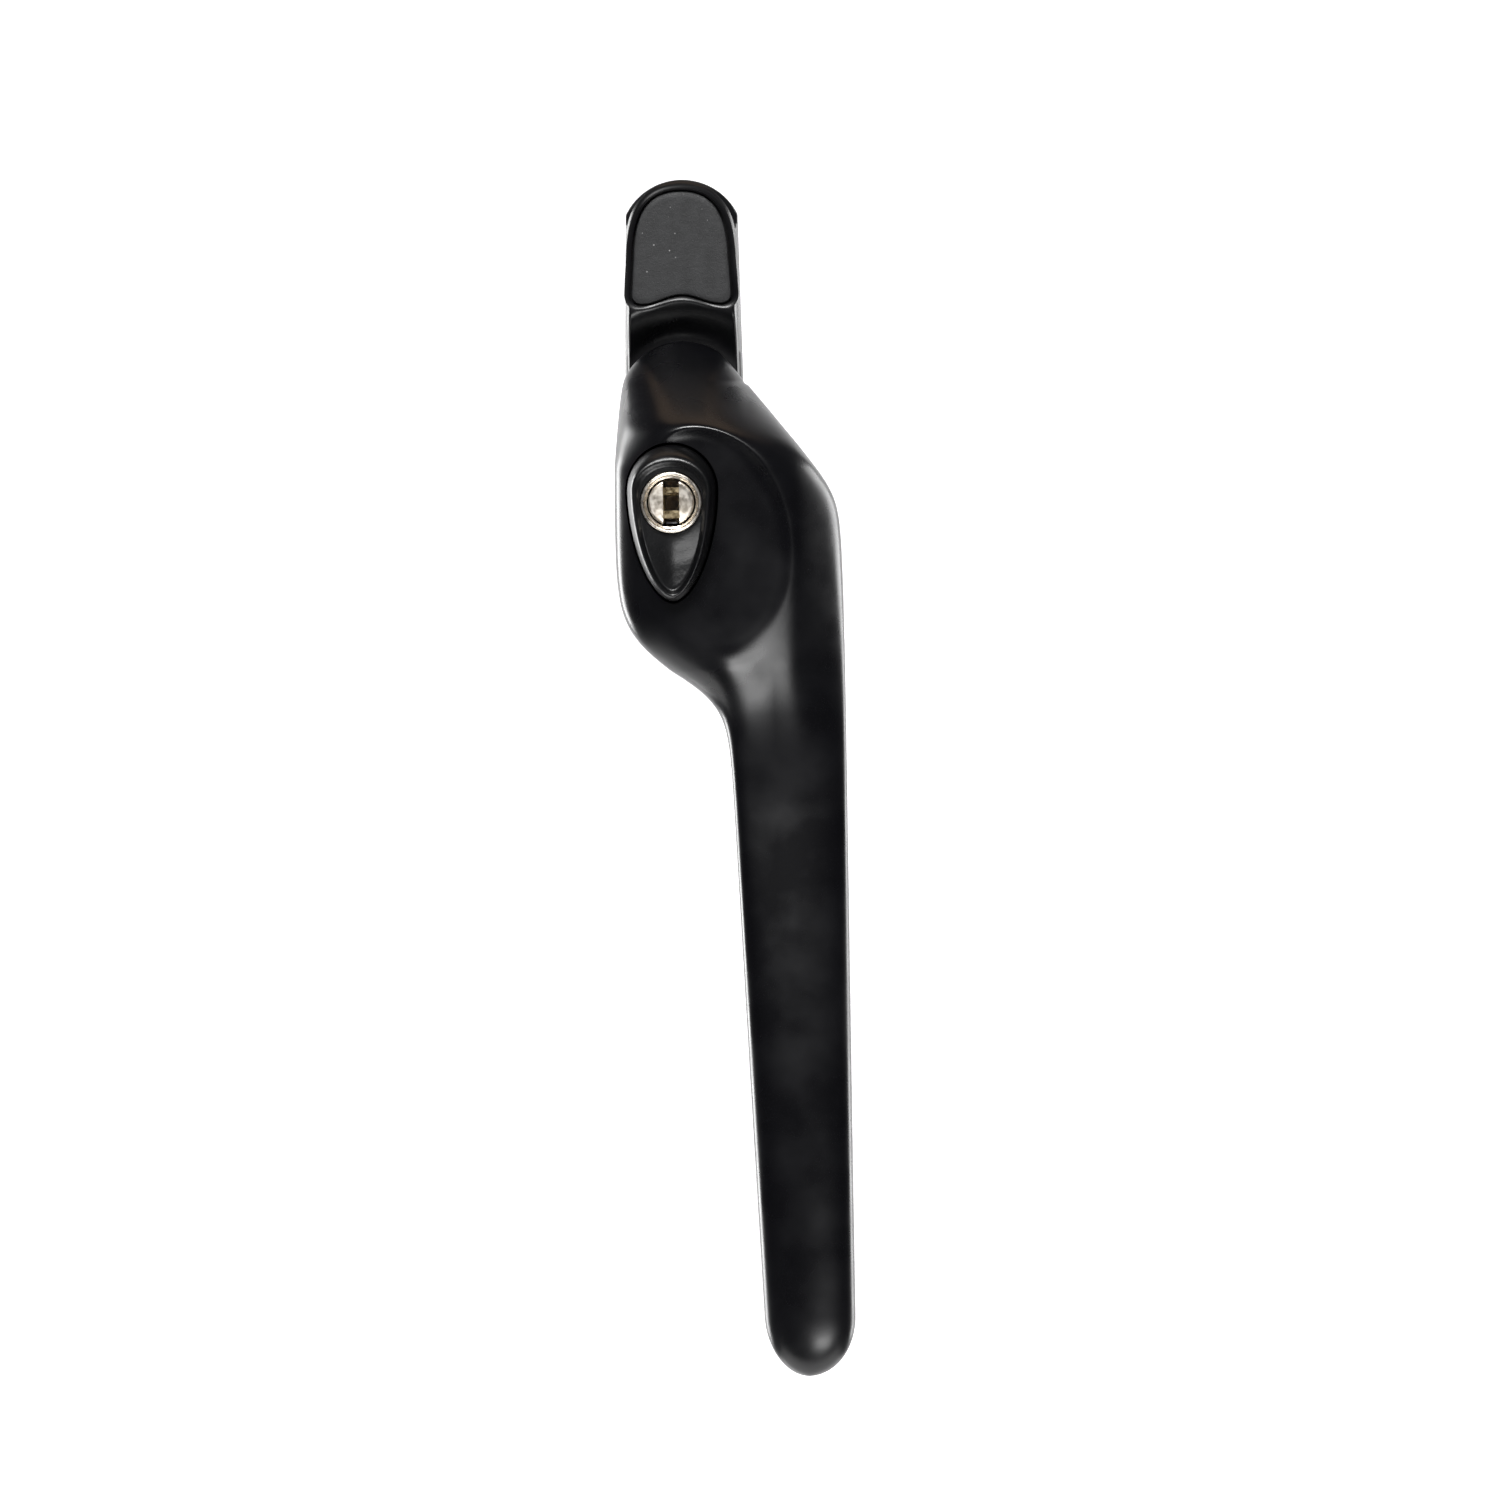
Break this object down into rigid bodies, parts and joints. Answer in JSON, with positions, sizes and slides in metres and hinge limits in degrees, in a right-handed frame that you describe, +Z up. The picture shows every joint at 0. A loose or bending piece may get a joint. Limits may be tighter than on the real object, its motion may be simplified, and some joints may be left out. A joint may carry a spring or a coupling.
{
  "type": "locking window handle",
  "caption": "Cranked window lever on a slim base plate, with a keyed push-button lock, a square drive spindle and two fixing screws.",
  "frame": {"origin": "on the spindle axis, in the plane of the base plate's back face", "axes": "+Z up along the base plate, away from the grip; +Y into the window; +X to the right seen from the room"},
  "size_m": [0.0308, 0.0653, 0.162],
  "materials": {
    "black_coat": "satin black powder coat on die-cast zinc",
    "cap_plastic": "fine-grained matte",
    "button_coat": "grained satin black",
    "bush_plastic": "moulded",
    "nickel": "bright nickel plate, slightly warm",
    "brass": "stamped, dull",
    "zinc": "bright zinc plate",
    "spring_steel": "oiled spring steel"
  },
  "bodies": {
    "base": {"base_plate": "black_coat", "screw_cap": "cap_plastic", "fixing_screw_upper": "zinc", "fixing_screw_lower": "zinc", "hub_bush": "bush_plastic", "detent_spring_left": "spring_steel", "detent_spring_right": "spring_steel", "back_plate": "zinc", "back_plate_rivet_upper": "zinc", "back_plate_rivet_lower": "zinc"},
    "handle": {"lever": "black_coat", "spindle": "zinc", "spindle_pin": "spring_steel", "index_cam": "zinc", "hub_washer": "zinc"},
    "button": {"lock_button": "button_coat", "lock_barrel": "nickel", "lock_bolt": "zinc", "button_spring": "spring_steel"},
    "plug": {"key_plug": "nickel", "wafer_spring": "spring_steel", "wafer_1": "brass", "wafer_2": "brass", "wafer_3": "brass", "wafer_4": "brass"},
    "latch": {"latch_tongue": "brass"}
  },
  "joints": [
    {"name": "lever_turn", "type": "hinge", "parent": "base", "child": "handle", "pos_m": [0, 0, 0], "axis": [0, -1, 0], "range_deg": [0, 90]},
    {"name": "button_press", "type": "slide", "parent": "handle", "child": "button", "axis": [0, 1, 0], "range_m": [0, 0.0034], "stiffness_N_per_m": 900, "springref_m": -0.003, "deforming": ["button_spring"]},
    {"name": "key_turn", "type": "hinge", "parent": "button", "child": "plug", "pos_m": [-0.0013, -0.02, -0.01344], "axis": [0, 1, 0], "range_deg": [0, 90]},
    {"name": "latch_slide", "type": "slide", "parent": "button", "child": "latch", "axis": [-1, 0, 0], "range_m": [0, 0.0009]}
  ],
  "couplings": [
    {"joint": "latch_slide", "follows": "key_turn", "m_per_rad": 0.000572}
  ]
}
